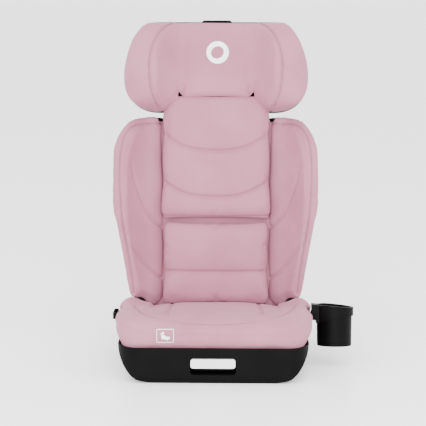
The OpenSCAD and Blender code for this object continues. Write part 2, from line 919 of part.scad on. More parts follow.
base_shell();
bottom_cover();
base_screws();
seat_pan();
seat_foam();
seat_cover();
label_patch();
lap_belt_guide_left();
lap_belt_guide_right();
cup_socket_left();
cup_socket_right();
hinge_bracket_left();
hinge_bracket_right();
hinge_pins();
connector_housing_left();
connector_housing_right();
handle_bezel();
pawl_guide();
carriage_crossbar();
connector_arm_left();
connector_arm_right();
jaw_pins();
jaw_left();
jaw_right();
release_button_left();
release_button_right();
pull_handle();
handle_rod();
handle_spring();
lock_pawl();
back_shell();
back_foam();
back_liner();
lumbar_pad();
wing_pad_left();
wing_pad_right();
guide_rail_left();
guide_rail_right();
rack_plate();
back_screws();
headrest_shell();
headrest_foam();
headrest_center_pad();
headrest_wing_left();
headrest_wing_right();
headrest_stem();
upper_back_pad();
belt_guide_left();
belt_guide_right();
badge_patch();
headrest_screws();
adjuster_handle();
adjuster_spring();
latch_pin();
cup_bracket();
cup();
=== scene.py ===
import bmesh
import bpy
import json
import math
import numpy as np
from mathutils import Matrix, Vector, noise
from mathutils.bvhtree import BVHTree


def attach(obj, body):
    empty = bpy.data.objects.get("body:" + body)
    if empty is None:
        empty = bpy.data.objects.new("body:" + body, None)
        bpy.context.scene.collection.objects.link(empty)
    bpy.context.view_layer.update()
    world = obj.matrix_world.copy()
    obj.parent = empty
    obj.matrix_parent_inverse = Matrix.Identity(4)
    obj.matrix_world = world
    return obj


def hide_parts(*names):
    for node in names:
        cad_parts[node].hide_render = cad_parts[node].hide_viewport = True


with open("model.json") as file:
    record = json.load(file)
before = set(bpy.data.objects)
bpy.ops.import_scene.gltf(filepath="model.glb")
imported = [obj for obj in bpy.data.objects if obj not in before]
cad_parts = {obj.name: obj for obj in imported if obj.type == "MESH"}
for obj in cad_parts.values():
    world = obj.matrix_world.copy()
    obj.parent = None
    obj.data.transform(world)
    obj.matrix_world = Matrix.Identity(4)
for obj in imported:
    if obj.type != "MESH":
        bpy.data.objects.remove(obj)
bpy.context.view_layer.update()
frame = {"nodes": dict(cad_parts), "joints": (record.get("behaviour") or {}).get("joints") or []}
nodes = frame["nodes"]
scene = bpy.context.scene
joints = {j["name"]: j for j in frame["joints"]}

# ---------------------------------------------------------------- places taken from the frame

MM = 0.001
recline = joints["recline"]
hinge = Vector(recline["pos_m"])
up = Vector(joints["headrest_height"]["axis"])        # along the leaning backrest
rear = Vector((0.0, up.z, -up.y))                     # square to the backrest, backwards
right = Vector((1.0, 0.0, 0.0))


def on_back(x, v, w):
    """A point in the backrest's own frame, in metres: x sideways, v rearwards, w up along it."""
    return hinge + right * x + rear * v + up * w


back_to_row = Matrix.Translation(hinge) @ Matrix((right, rear, up)).transposed().to_4x4()
row_to_back = back_to_row.inverted()


# ---------------------------------------------------------------- camera, light and stage

def look_at(obj, target):
    obj.rotation_mode = "QUATERNION"
    obj.rotation_quaternion = (Vector(target) - obj.location).to_track_quat("-Z", "Y")


camera_place = (0.060, -3.0, 0.860)
camera_target = (-0.0051, 0.05, 0.3200)
camera_lens = 116.93
sensor_width = 36.0


def make_camera():
    data = bpy.data.cameras.new("camera")
    cam = bpy.data.objects.new("camera", data)
    scene.collection.objects.link(cam)
    data.sensor_width = sensor_width
    data.lens = camera_lens
    data.clip_start = 0.05
    data.clip_end = 60.0
    cam.location = camera_place
    look_at(cam, camera_target)
    scene.camera = cam


def area_light(name, place, target, size, power):
    data = bpy.data.lights.new(name, "AREA")
    data.shape = "RECTANGLE"
    data.size, data.size_y = size
    data.energy = power
    lamp = bpy.data.objects.new(name, data)
    scene.collection.objects.link(lamp)
    lamp.location = place
    look_at(lamp, target)


backrest_front = (0.0, 0.05, 0.35)
seat_middle = (0.0, 0.0, 0.35)
world_strength = 2.7


def make_lights():
    world = bpy.data.worlds.new("studio")
    scene.world = world
    world.use_nodes = True
    background = world.node_tree.nodes["Background"]
    background.inputs["Color"].default_value = (1.0, 1.0, 1.0, 1.0)
    background.inputs["Strength"].default_value = world_strength
    area_light("key_front", (0.0, -3.6, 1.5), backrest_front, (2.6, 1.6), 190)
    area_light("key_top", (0.0, -0.6, 2.8), backrest_front, (2.2, 1.6), 20)
    area_light("side_left", (-2.2, -1.2, 1.2), seat_middle, (1.2, 2.0), 30)
    area_light("side_right", (2.2, -1.2, 1.2), seat_middle, (1.2, 2.0), 30)


def make_floor():
    bpy.ops.mesh.primitive_plane_add(size=60, location=(0, 0, -0.0005))
    floor = bpy.context.object
    floor.name = "floor"
    mat = bpy.data.materials.new("floor")
    mat.use_nodes = True
    shader = mat.node_tree.nodes["Principled BSDF"]
    shader.inputs["Base Color"].default_value = (0.96, 0.96, 0.96, 1)
    shader.inputs["Roughness"].default_value = 0.35
    floor.data.materials.append(mat)


# ---------------------------------------------------------------- materials

class Nodes:
    """Short-hand for building a material's node tree."""

    def __init__(self, name):
        self.mat = bpy.data.materials.new(name)
        self.mat.use_nodes = True
        self.tree = self.mat.node_tree
        self.shader = self.tree.nodes["Principled BSDF"]

    def add(self, kind, **inputs):
        node = self.tree.nodes.new(kind)
        for key, value in inputs.items():
            node.inputs[key.replace("_", " ")].default_value = value
        return node

    def link(self, a, out, b, into):
        self.tree.links.new(a.outputs[out], b.inputs[into])

    def coords(self, scale=1.0):
        source = self.add("ShaderNodeTexCoord")
        mapping = self.add("ShaderNodeMapping")
        mapping.inputs["Scale"].default_value = (scale,) * 3 if isinstance(scale, float) else scale
        self.link(source, "Object", mapping, "Vector")
        return mapping

    def ramp(self, stops):
        node = self.add("ShaderNodeValToRGB")
        elements = node.color_ramp.elements
        while len(elements) < len(stops):
            elements.new(0.5)
        for element, (at, colour) in zip(elements, stops):
            element.position = at
            element.color = (*colour, 1.0)
        return node

    def bump(self, height_node, out, strength, distance, below=None):
        node = self.add("ShaderNodeBump", Strength=strength, Distance=distance)
        self.link(height_node, out, node, "Height")
        if below is not None:
            self.link(below, "Normal", node, "Normal")
        return node


def knit(name, dark, light, rough=0.85, sheen=0.12):
    """Fine knitted polyester: stitches, yarn mottling and soft, cloudy variation."""
    n = Nodes(name)
    fine = n.coords(1.0)
    weave_a = n.add("ShaderNodeTexWave", Scale=520.0, Distortion=1.2, Detail=1.0)
    weave_a.bands_direction = "X"
    n.link(fine, "Vector", weave_a, "Vector")
    weave_b = n.add("ShaderNodeTexWave", Scale=430.0, Distortion=1.6, Detail=1.0)
    weave_b.bands_direction = "Z"
    n.link(fine, "Vector", weave_b, "Vector")
    stitches = n.add("ShaderNodeMath")
    stitches.operation = "MULTIPLY"
    n.link(weave_a, "Fac", stitches, 0)
    n.link(weave_b, "Fac", stitches, 1)
    yarn = n.add("ShaderNodeTexNoise", Scale=900.0, Detail=3.0, Roughness=0.6)
    n.link(fine, "Vector", yarn, "Vector")
    cloud = n.add("ShaderNodeTexNoise", Scale=9.0, Detail=3.0, Roughness=0.5)
    n.link(fine, "Vector", cloud, "Vector")
    mix = n.add("ShaderNodeMath")
    mix.operation = "MULTIPLY_ADD"
    n.link(yarn, "Fac", mix, 0)
    mix.inputs[1].default_value = 0.45
    n.link(cloud, "Fac", mix, 2)
    tone = n.ramp([(0.45, dark), (0.95, light)])
    n.link(mix, "Value", tone, "Fac")
    n.link(tone, "Color", n.shader, "Base Color")
    weave_bump = n.bump(stitches, "Value", 0.35, 0.0004)
    yarn_bump = n.bump(yarn, "Fac", 0.18, 0.0003, weave_bump)
    n.link(yarn_bump, "Normal", n.shader, "Normal")
    n.shader.inputs["Roughness"].default_value = rough
    n.shader.inputs["Sheen Weight"].default_value = sheen
    n.shader.inputs["Sheen Roughness"].default_value = 0.45
    n.shader.inputs["Sheen Tint"].default_value = (1.0, 0.75, 0.82, 1.0)
    n.shader.inputs["Specular IOR Level"].default_value = 0.25
    return n.mat


def moulded(name, dark, light, rough=0.42, grain=0.12, specular=0.5):
    """Injection-moulded plastic: fine grain, slight tone change and uneven gloss."""
    n = Nodes(name)
    at = n.coords(1.0)
    pores = n.add("ShaderNodeTexVoronoi", Scale=900.0)
    n.link(at, "Vector", pores, "Vector")
    flow = n.add("ShaderNodeTexNoise", Scale=14.0, Detail=4.0, Roughness=0.55)
    n.link(at, "Vector", flow, "Vector")
    tone = n.ramp([(0.3, dark), (0.75, light)])
    n.link(flow, "Fac", tone, "Fac")
    n.link(tone, "Color", n.shader, "Base Color")
    gloss = n.add("ShaderNodeMapRange")
    gloss.inputs["To Min"].default_value = rough - 0.06
    gloss.inputs["To Max"].default_value = rough + 0.08
    n.link(flow, "Fac", gloss, "Value")
    n.link(gloss, "Result", n.shader, "Roughness")
    skin = n.bump(pores, "Distance", grain, 0.0002)
    n.link(skin, "Normal", n.shader, "Normal")
    n.shader.inputs["Specular IOR Level"].default_value = specular
    return n.mat


def metal(name, colour, rough=0.35):
    """Plated or coated steel with a drawn grain."""
    n = Nodes(name)
    at = n.coords((40.0, 900.0, 900.0))
    grain = n.add("ShaderNodeTexNoise", Scale=1.0, Detail=3.0)
    n.link(at, "Vector", grain, "Vector")
    tone = n.ramp([(0.3, tuple(c * 0.82 for c in colour)), (0.7, colour)])
    n.link(grain, "Fac", tone, "Fac")
    n.link(tone, "Color", n.shader, "Base Color")
    drawn = n.bump(grain, "Fac", 0.08, 0.0002)
    n.link(drawn, "Normal", n.shader, "Normal")
    n.shader.inputs["Metallic"].default_value = 1.0
    n.shader.inputs["Roughness"].default_value = rough
    return n.mat


def beads(name, dark, light):
    """Expanded foam: packed beads."""
    n = Nodes(name)
    at = n.coords(1.0)
    cells = n.add("ShaderNodeTexVoronoi", Scale=260.0)
    n.link(at, "Vector", cells, "Vector")
    tone = n.ramp([(0.1, light), (0.8, dark)])
    n.link(cells, "Distance", tone, "Fac")
    n.link(tone, "Color", n.shader, "Base Color")
    pits = n.bump(cells, "Distance", 0.4, 0.0008)
    n.link(pits, "Normal", n.shader, "Normal")
    n.shader.inputs["Roughness"].default_value = 0.9
    return n.mat


def make_materials():
    return {
        "fabric": knit("pink_knit", (0.295, 0.108, 0.160), (0.358, 0.142, 0.200)),
        "pad": knit("pink_pad_knit", (0.283, 0.102, 0.154), (0.342, 0.134, 0.191)),
        # welt: the cover's own cloth, made darker as painted shade for the dark line along the piping
        "welt": knit("pink_welt_painted_shade", (0.235, 0.095, 0.132), (0.280, 0.120, 0.160), sheen=0.08),
        "thread": knit("pink_thread", (0.240, 0.098, 0.136), (0.285, 0.122, 0.163), sheen=0.08),
        "patch": knit("white_patch", (0.86, 0.86, 0.86), (0.95, 0.95, 0.95), rough=0.6, sheen=0.1),
        "black": moulded("black_plastic", (0.0010, 0.0010, 0.0011), (0.0022, 0.0022, 0.0023),
                         0.50, specular=0.05),
        "inner": moulded("inner_plastic", (0.0015, 0.0015, 0.0015), (0.0025, 0.0025, 0.0025), 0.6,
                         specular=0.06),
        "grey": moulded("grey_plastic", (0.66, 0.66, 0.67), (0.72, 0.72, 0.73), 0.38, 0.08),
        "red": moulded("red_plastic", (0.45, 0.03, 0.025), (0.55, 0.05, 0.04), 0.35, 0.08),
        "steel": metal("plated_steel", (0.62, 0.63, 0.65)),
        "dark_steel": metal("coated_steel", (0.05, 0.05, 0.055), 0.5),
        "foam": beads("foam_beads", (0.45, 0.45, 0.43), (0.66, 0.66, 0.63)),
    }


# ---------------------------------------------------------------- shape helpers

def smooth_step(x, low, high):
    """0 up to low, 1 from high on, with a smooth rise between them."""
    t = np.clip((x - low) / (high - low), 0.0, 1.0)
    return t * t * (3 - 2 * t)


def spline(points, step=0.004):
    """A smooth open line through the points, resampled evenly."""
    p = np.array(points, float)
    ends = np.vstack([2 * p[0] - p[1], p, 2 * p[-1] - p[-2]])
    out = []
    for a, b, c, d in zip(ends[:-3], ends[1:-2], ends[2:-1], ends[3:]):
        count = max(2, int(np.linalg.norm(c - b) / step))
        for t in np.arange(count) / count:
            out.append(0.5 * (2 * b + (c - a) * t + (2 * a - 5 * b + 4 * c - d) * t ** 2
                              + (3 * b - a - 3 * c + d) * t ** 3))
    out.append(p[-1])
    return np.array(out)


def distance_to(lines, a, b):
    """Distance in the (a, b) plane from each grid point to the nearest of the lines."""
    best = np.full(a.shape, 1e3)
    for line in lines:
        for (x0, y0), (x1, y1) in zip(line[:-1], line[1:]):
            dx, dy = x1 - x0, y1 - y0
            t = np.clip(((a - x0) * dx + (b - y0) * dy) / (dx * dx + dy * dy), 0, 1)
            best = np.minimum(best, np.hypot(a - x0 - t * dx, b - y0 - t * dy))
    return best


def new_piece(name, mesh, mat):
    """An object with smooth shading and one material."""
    obj = bpy.data.objects.new(name, mesh)
    scene.collection.objects.link(obj)
    obj.data.materials.append(mat)
    mesh.polygons.foreach_set("use_smooth", [True] * len(mesh.polygons))
    return obj


def to_row(points_back):
    """Backrest-frame points x, v, w as points of the row frame."""
    m = np.array(back_to_row)
    return points_back @ m[:3, :3].T + m[:3, 3]


def surface_tree(obj):
    work = bmesh.new()
    work.from_mesh(obj.data)
    tree = BVHTree.FromBMesh(work)
    work.free()
    return tree


def tube_faces(start, rings, sides):
    """Faces of a closed tube whose rings of vertices follow each other from a start number."""
    faces = []
    for i in range(rings - 1):
        for k in range(sides):
            m = (k + 1) % sides
            low, high = start + i * sides, start + (i + 1) * sides
            faces.append((low + k, low + m, high + m, high + k))
    last = start + (rings - 1) * sides
    faces.append(tuple(start + k for k in range(sides))[::-1])
    faces.append(tuple(last + k for k in range(sides)))
    return faces


def tube(name, points, radius, mat, sides=8):
    """A round tube along points in the row frame, with closed ends."""
    p = np.array(points, float)
    along = np.gradient(p, axis=0)
    along /= np.linalg.norm(along, axis=1, keepdims=True)
    side = np.cross(along, np.array([0.31, 0.17, 0.93]))
    side /= np.linalg.norm(side, axis=1, keepdims=True)
    other = np.cross(along, side)
    verts = []
    for centre, s, o in zip(p, side, other):
        for k in range(sides):
            a = 2 * math.pi * k / sides
            verts.append(tuple(centre + radius * (math.cos(a) * s + math.sin(a) * o)))
    mesh = bpy.data.meshes.new(name)
    mesh.from_pydata(verts, [], tube_faces(0, len(p), sides))
    return new_piece(name, mesh, mat)


ray_start = 0.4                                       # how far before a point its ray starts


def laid_on(tree, points, direction, lift):
    """Points dropped on a surface along a direction, then lifted off it by a little."""
    out = []
    reach = Vector(direction).normalized()
    for p in points:
        hit, normal, _, _ = tree.ray_cast(Vector(p) - reach * ray_start, reach)
        if hit is not None:
            if normal.dot(reach) > 0:
                normal = -normal
            out.append(hit + normal * lift)
    return out


# ---------------------------------------------------------------- soft goods, from the CAD pads

def coords(mesh):
    out = np.zeros(len(mesh.vertices) * 3)
    mesh.vertices.foreach_get("co", out)
    return out.reshape(-1, 3)


def set_coords(mesh, points):
    mesh.vertices.foreach_set("co", points.ravel())
    mesh.update()


def normals(mesh):
    out = np.zeros(len(mesh.vertices) * 3)
    mesh.vertex_normals.foreach_get("vector", out)
    return out.reshape(-1, 3)


def bake(obj):
    """Turns the object's modifiers into its mesh."""
    graph = bpy.context.evaluated_depsgraph_get()
    mesh = bpy.data.meshes.new_from_object(obj.evaluated_get(graph))
    obj.modifiers.clear()
    old, obj.data = obj.data, mesh
    bpy.data.meshes.remove(old)


def smoothed(mesh, steps, keep=None):
    """Evens the mesh out; keep is 1 where a vertex must stay in its place."""
    start = coords(mesh)
    points = start.copy()
    edges = np.zeros(len(mesh.edges) * 2, int)
    mesh.edges.foreach_get("vertices", edges)
    a, b = edges.reshape(-1, 2).T
    count = np.bincount(np.concatenate([a, b]), minlength=len(points))[:, None]
    for _ in range(steps):
        total = np.zeros_like(points)
        for i in range(3):
            total[:, i] = (np.bincount(a, points[b, i], len(points))
                           + np.bincount(b, points[a, i], len(points)))
        points = 0.5 * points + 0.5 * total / np.maximum(count, 1)
    if keep is not None:
        points = points + (start - points) * keep[:, None]
    set_coords(mesh, points)


cloth_frames = 20


def inflated(obj, pressure, cap):
    """Lets the piece swell like a stuffed cover; each point moves by no more than cap."""
    start = coords(obj.data)
    cloth = obj.modifiers.new("cloth", "CLOTH")
    cloth.settings.quality = 3
    cloth.settings.mass = 0.3
    cloth.settings.tension_stiffness = 15
    cloth.settings.compression_stiffness = 15
    cloth.settings.bending_stiffness = 0.5
    cloth.settings.use_pressure = True
    cloth.settings.uniform_pressure_force = pressure
    cloth.settings.effector_weights.gravity = 0
    cloth.collision_settings.use_collision = False
    for number in range(1, cloth_frames + 1):
        scene.frame_set(number)
    graph = bpy.context.evaluated_depsgraph_get()
    moved = obj.evaluated_get(graph).to_mesh()
    shift = coords(moved) - start
    obj.evaluated_get(graph).to_mesh_clear()
    obj.modifiers.clear()
    scene.frame_set(1)
    shift -= shift.mean(0)
    size = np.linalg.norm(shift, axis=1, keepdims=True)
    set_coords(obj.data, start + shift * np.minimum(1.0, cap / np.maximum(size, 1e-9)))


def soft_piece(name, sources, mat, voxel=0.0045, steps=8, pressure=4.0, cap=0.005, keep=None,
               before=None, after=None, grow=0.0015, settle=2):
    """A rounded, stuffed piece in the place of CAD pads, fine enough to sew seams into.

    before and after reshape the points, before the remeshing and after the smoothing.
    """
    work = bmesh.new()
    for source in sources:
        work.from_mesh(nodes[source].data)
    mesh = bpy.data.meshes.new(name)
    work.to_mesh(mesh)
    work.free()
    if before:
        set_coords(mesh, before(coords(mesh)))
    obj = new_piece(name, mesh, mat)
    remesh = obj.modifiers.new("remesh", "REMESH")
    remesh.mode = "VOXEL"
    remesh.voxel_size = voxel
    bake(obj)
    held = keep(coords(obj.data)) if keep else None
    smoothed(obj.data, steps, held)
    out = normals(obj.data) * grow
    set_coords(obj.data, coords(obj.data) + (out if held is None else out * (1 - held)[:, None]))
    if after:
        set_coords(obj.data, after(coords(obj.data)))
        smoothed(obj.data, settle)
    inflated(obj, pressure, cap)
    finer = obj.modifiers.new("finer", "SUBSURF")
    finer.levels = finer.render_levels = 1
    bake(obj)
    obj.data.materials.clear()
    obj.data.materials.append(mat)
    obj.data.polygons.foreach_set("use_smooth", [True] * len(obj.data.polygons))
    return obj


def in_back(points):
    """Row-frame points as x, v, w of the backrest's frame."""
    m = np.array(row_to_back)
    return points @ m[:3, :3].T + m[:3, 3]


def plane_of(obj, frame_name):
    """In-plane coordinates (a, b) of every vertex and how far it faces the plane's front."""
    points, face = coords(obj.data), normals(obj.data)
    if frame_name == "back":
        p = in_back(points)
        return p[:, 0], p[:, 2], -(face @ np.array(rear))
    return points[:, 0], points[:, 1], face[:, 2]


def sewn(obj, frame_name, lines, depth, width, crown=0.0, reach=0.03, facing=0.15, fade=0.0):
    """Draws the surface in along seam lines and lets it swell between them.

    With fade, each line's groove grows from nothing over that distance from its start.
    """
    a, b, front = plane_of(obj, frame_name)
    d = distance_to(lines, a, b)
    mask = smooth_step(front, facing, facing + 0.35)
    if fade:
        for line in lines:
            start = np.hypot(a - line[0][0], b - line[0][1])
            mask = mask * smooth_step(start, 0.0, fade)
    lift = crown * (1.0 - np.exp(-(d / reach) ** 2)) - depth * np.exp(-(d / width) ** 2)
    set_coords(obj.data, coords(obj.data) + normals(obj.data) * (lift * mask)[:, None])


def rumpled(obj, size, height, seed):
    """Faint, wide unevenness, as on a cover pulled over foam."""
    points = coords(obj.data)
    push = np.array([noise.noise(Vector(p * size) + Vector((seed, 0, 0))) for p in points])
    set_coords(obj.data, points + normals(obj.data) * (push * height)[:, None])


def on_front(tree, line, frame_name, lift, step=0.003):
    """A seam line in the piece's plane, laid on its surface."""
    fine = spline([tuple(p) for p in line], step)
    if frame_name == "back":
        points = [on_back(x, -0.3, w) for x, w in fine]
        return laid_on(tree, points, rear, lift)
    points = [Vector((x, y, 0.4)) for x, y in fine]
    return laid_on(tree, points, (0, 0, -1), lift)


welt_radius = 0.0013


def piping(name, owner, tree, line, frame_name, lift):
    """A welt: a cord along a seam of the piece that it is sewn to, in the cover's cloth, darker as
    painted shade.
    """
    points = on_front(tree, line, frame_name, lift)
    piece = tube(name, smooth_line(points, 3), welt_radius, mats["welt"])
    piece.parent = owner


def smooth_line(points, steps):
    """The same line with its kinks evened out, its ends kept."""
    p = np.array([tuple(q) for q in points])
    for _ in range(steps):
        p[1:-1] = 0.25 * p[:-2] + 0.5 * p[1:-1] + 0.25 * p[2:]
    return p


stitch_length = 0.0032
stitch_gap = 0.0016
thread_radius = 0.00042
thread_sides = 5
dip_at_ends = (0.4, 1.0, 1.0, 0.4)                    # share of the thread's radius along a stitch


def stitches(name, owner, tree, line, frame_name):
    """A row of stitches: short threads that thin out at both ends."""
    points = smooth_line(on_front(tree, line, frame_name, 0.0002, 0.0012), 2)
    along = np.concatenate([[0], np.cumsum(np.linalg.norm(np.diff(points, axis=0), axis=1))])
    verts, faces = [], []
    at = 0.0
    while at + stitch_length < along[-1]:
        ts = np.linspace(at, at + stitch_length, len(dip_at_ends))
        c = np.array([[np.interp(t, along, points[:, i]) for i in range(3)] for t in ts])
        direction = (c[-1] - c[0]) / max(np.linalg.norm(c[-1] - c[0]), 1e-9)
        s = np.cross(direction, np.array([0.3, 0.2, 0.93]))
        s /= np.linalg.norm(s)
        o = np.cross(direction, s)
        base = len(verts)
        for centre, r in zip(c, dip_at_ends):
            for j in range(thread_sides):
                turn = 2 * math.pi * j / thread_sides
                spoke = math.cos(turn) * s + math.sin(turn) * o
                verts.append(tuple(centre + r * thread_radius * spoke))
        faces += tube_faces(base, len(dip_at_ends), thread_sides)
        at += stitch_length + stitch_gap
    mesh = bpy.data.meshes.new(name)
    mesh.from_pydata(verts, [], faces)
    piece = new_piece(name, mesh, mats["thread"])
    piece.parent = owner


def beside(line, offset):
    """A line in the plane, moved sideways by an offset."""
    p = np.array(line, float)
    along = np.gradient(p, axis=0)
    along /= np.linalg.norm(along, axis=1, keepdims=True)
    return p + offset * np.stack([-along[:, 1], along[:, 0]], axis=1)


def mm(points):
    """Points given in millimetres, in metres."""
    return [(a * MM, b * MM) for a, b in points]


def both(points):
    """A line and its mirror image across the middle."""
    return [points, [(-a, b) for a, b in points]]


# ---------------------------------------------------------------- headrest

head_welt = mm([(86, 656), (104, 650), (118, 638), (130, 620), (140, 598), (146, 575), (149, 550),
                (147, 515), (141, 483), (131, 460), (121, 449)])
head_crease = mm([(91, 468), (86, 480), (81, 492), (77, 506)])
head_fold = mm([(74, 500), (73, 560), (72, 645)])
pad_half = 72.0                                       # half-width of the middle panel, in mm
foot_top, foot_bottom = 530.0, 450.0                  # heights between which the wings are drawn up
panel_foot, panel_seam = 478.0, 484.0                 # the middle panel's foot, before and after


def raised_foot(points):
    """Lifts the headrest's foot between the wings' lower corners, up to the middle panel's seam."""
    p = in_back(points)
    x, w = np.abs(p[:, 0]) / MM, p[:, 2] / MM
    middle = smooth_step(-x, -pad_half - 4, -pad_half + 4)
    bottom = foot_bottom * (1 - middle) + panel_foot * middle
    slope = 25.0 * np.clip((122 - x) / 35, 0, 1)
    target = foot_bottom + slope + 5.0 * np.clip((87 - x) / 15, 0, 1)
    target = target * (1 - middle) + (panel_seam - 4.0 * (x / pad_half) ** 2) * middle
    share = np.clip((foot_top - w) / (foot_top - bottom), 0.0, 1.2)
    p[:, 2] += share * (target - bottom) * MM
    corner = np.exp(-((x - pad_half - 2.0) / 14.0) ** 2) * smooth_step(-w, -525, -490)
    p[:, 0] += np.sign(p[:, 0]) * 10.0 * corner * MM
    return to_row(p)


def make_headrest():
    sources = ("headrest_center_pad", "headrest_wing_left", "headrest_wing_right")
    cover = soft_piece("headrest_cover", sources, mats["fabric"], voxel=0.0045, steps=9, cap=0.004,
                       after=raised_foot)
    welts = both(spline(head_welt, 0.006))
    sewn(cover, "back", welts, 0.0022, 0.0035, crown=0.0015, reach=0.02)
    sewn(cover, "back", both(spline(head_crease, 0.004)), 0.004, 0.006)
    sewn(cover, "back", both(head_fold), 0.0018, 0.012)
    rumpled(cover, 14.0, 0.0006, 3.0)
    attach(cover, "headrest")
    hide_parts(*sources)
    tree = surface_tree(cover)
    for side, line, inward in zip(("right", "left"), both(head_welt), (-0.004, 0.004)):
        piping("headrest_welt_" + side, cover, tree, line, "back", 0.0004)
        stitches("headrest_stitches_" + side, cover, tree, beside(spline(line, 0.004), inward),
                 "back")
    return tree


# ---------------------------------------------------------------- backrest

pad_seam_upper = mm([(-126, 399), (-112, 392), (-90, 378), (-60, 366), (-25, 361), (10, 360),
                     (45, 363), (80, 374), (108, 390), (126, 399)])
pad_seam_lower = mm([(-126, 291), (-112, 284), (-88, 270), (-55, 259), (-20, 255), (10, 254),
                     (45, 257), (80, 268), (108, 283), (126, 290)])
pad_hem = mm([(-126, 211), (-60, 209), (0, 208), (60, 209), (126, 211)])


pad_side = 0.122                                      # half-width of the pads' covers
pad_edge = 0.121                                      # their rows of stitches stay inside this
tongue_foot, tongue_top = 0.4428, 0.470               # heights of the narrow top end
tongue_before, tongue_face = -0.0655, -0.077          # its front face, before and after


def wide_tongue(points):
    """Widens the pad's narrow top end, so that it fills the room under the headrest."""
    p = in_back(points)
    high = p[:, 2] > tongue_foot
    p[high, 0] = np.clip(p[high, 0] * 4.0, -pad_side, pad_side)
    p[high & (p[:, 1] < tongue_before), 1] = tongue_face
    p[p[:, 2] > tongue_top, 2] += 0.010
    return to_row(p)


def make_upper_pad():
    pad = soft_piece("upper_back_cover", ("upper_back_pad",), mats["pad"], 0.0042, 5, cap=0.004,
                     before=wide_tongue)
    seams = [spline(pad_seam_upper, 0.006), spline(pad_seam_lower, 0.006)]
    sewn(pad, "back", seams, 0.0052, 0.0046, crown=0.0050, reach=0.026, facing=0.35)
    sewn(pad, "back", [spline(pad_hem, 0.01)], 0.0028, 0.0040)
    pull_sides(pad, [399, 291, 209], 1.8)
    rumpled(pad, 16.0, 0.0006, 8.0)
    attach(pad, "headrest")
    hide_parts("upper_back_pad")
    tree = surface_tree(pad)
    for number, line in enumerate((pad_seam_upper, pad_seam_lower, pad_hem)):
        inner = [p for p in line if abs(p[0]) < pad_edge]
        stitches("upper_pad_stitches_%d" % number, pad, tree, beside(spline(inner, 0.004), 0.0045),
                 "back")


def pull_sides(obj, seams_w, pull):
    """Draws the two side edges in where the seams meet them; pull and seams_w are in mm."""
    points = coords(obj.data)
    p = in_back(points)
    d = np.min([np.abs(p[:, 2] - w * MM) for w in seams_w], axis=0)
    amount = pull * MM * np.exp(-(d / 0.012) ** 2) * smooth_step(np.abs(p[:, 0]), 0.085, pad_side)
    points[:, 0] -= np.sign(p[:, 0]) * amount
    set_coords(obj.data, points)


lumbar_seam = mm([(-122, 86), (-60, 84), (0, 84), (60, 84), (122, 86)])


def make_lumbar_pad():
    pad = soft_piece("lumbar_cover", ("lumbar_pad",), mats["pad"], 0.0042, 6, cap=0.005)
    sewn(pad, "back", [spline(lumbar_seam, 0.01)], 0.0050, 0.0048, crown=0.0050, reach=0.024,
         facing=0.35)
    pull_sides(pad, [85], 3.0)
    rumpled(pad, 15.0, 0.0006, 12.0)
    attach(pad, "backrest")
    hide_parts("lumbar_pad")
    tree = surface_tree(pad)
    inner = [p for p in lumbar_seam if abs(p[0]) < pad_edge]
    stitches("lumbar_stitches", pad, tree, beside(spline(inner, 0.004), -0.0045), "back")


wing_welt = mm([(126, 425), (160, 424), (184, 418), (199, 404), (208, 383), (213, 350), (215, 310),
                (214, 270), (211, 225), (205, 180), (198, 135), (192, 95), (188, 60), (186, 38)])
wing_seam_upper = mm([(190, 340), (186, 315), (180, 285), (168, 250), (155, 220), (142, 200),
                      (126, 188)])
wing_seam_lower = mm([(201, 160), (185, 138), (168, 112), (150, 88), (136, 76), (124, 70)])


wing_side_at = ((30, 240), (190, 225))                # heights, and the wing's half-width there, in mm
wing_face, wing_rise = -64.0, 84.0                    # front of the flat part, rise to the rim, in mm
wing_bend, wing_run = 161.0, 58.0                     # where the rise starts and how wide it is, in mm
edge_share = 0.1                                      # share of the knife edge that stays
foot_start, foot_run = 75.0, 45.0                     # height under which the foot grows, in mm
foot_least, foot_more = 9.0, 21.0                     # how far it grows outside, and more inside
crown_least, crown_more = 3.0, 6.0                    # the same for the top edge
corner_up, corner_forward, corner_in = 7.0, 11.0, 14.0   # moves of its top inner corner, in mm


def long_foot(points):
    """Blunts the wing's rim and draws its foot and its top edge over the shell's edges."""
    p = in_back(points)
    x, v, w = np.abs(p[:, 0]) / MM, p[:, 1] / MM, p[:, 2] / MM
    outer = np.interp(w, *wing_side_at)
    rim = wing_face - wing_rise * np.clip((outer - wing_bend) / wing_run, 0.3, 1.0) ** 1.5
    v = np.where(v < rim, rim + edge_share * (v - rim), v)
    p[:, 1] = v * MM
    reach = np.clip((foot_start - w) / foot_run, 0.0, 1.3)
    length = foot_least + foot_more * smooth_step(-x, -172, -150)
    down = length * reach ** 1.5 * smooth_step(-v, 42, 54)
    before_shell = smooth_step(-v, 50, 64)
    height = crown_least + crown_more * smooth_step(-x, -165, -135)
    crown = height * smooth_step(w, 400, 436) * before_shell
    corner = smooth_step(w, 405, 432) * smooth_step(-x, -158, -136) * before_shell
    p[:, 2] += (crown - down + corner_up * corner) * MM
    p[:, 1] -= corner_forward * MM * corner
    p[:, 0] -= np.sign(p[:, 0]) * corner_in * MM * corner
    return to_row(p)


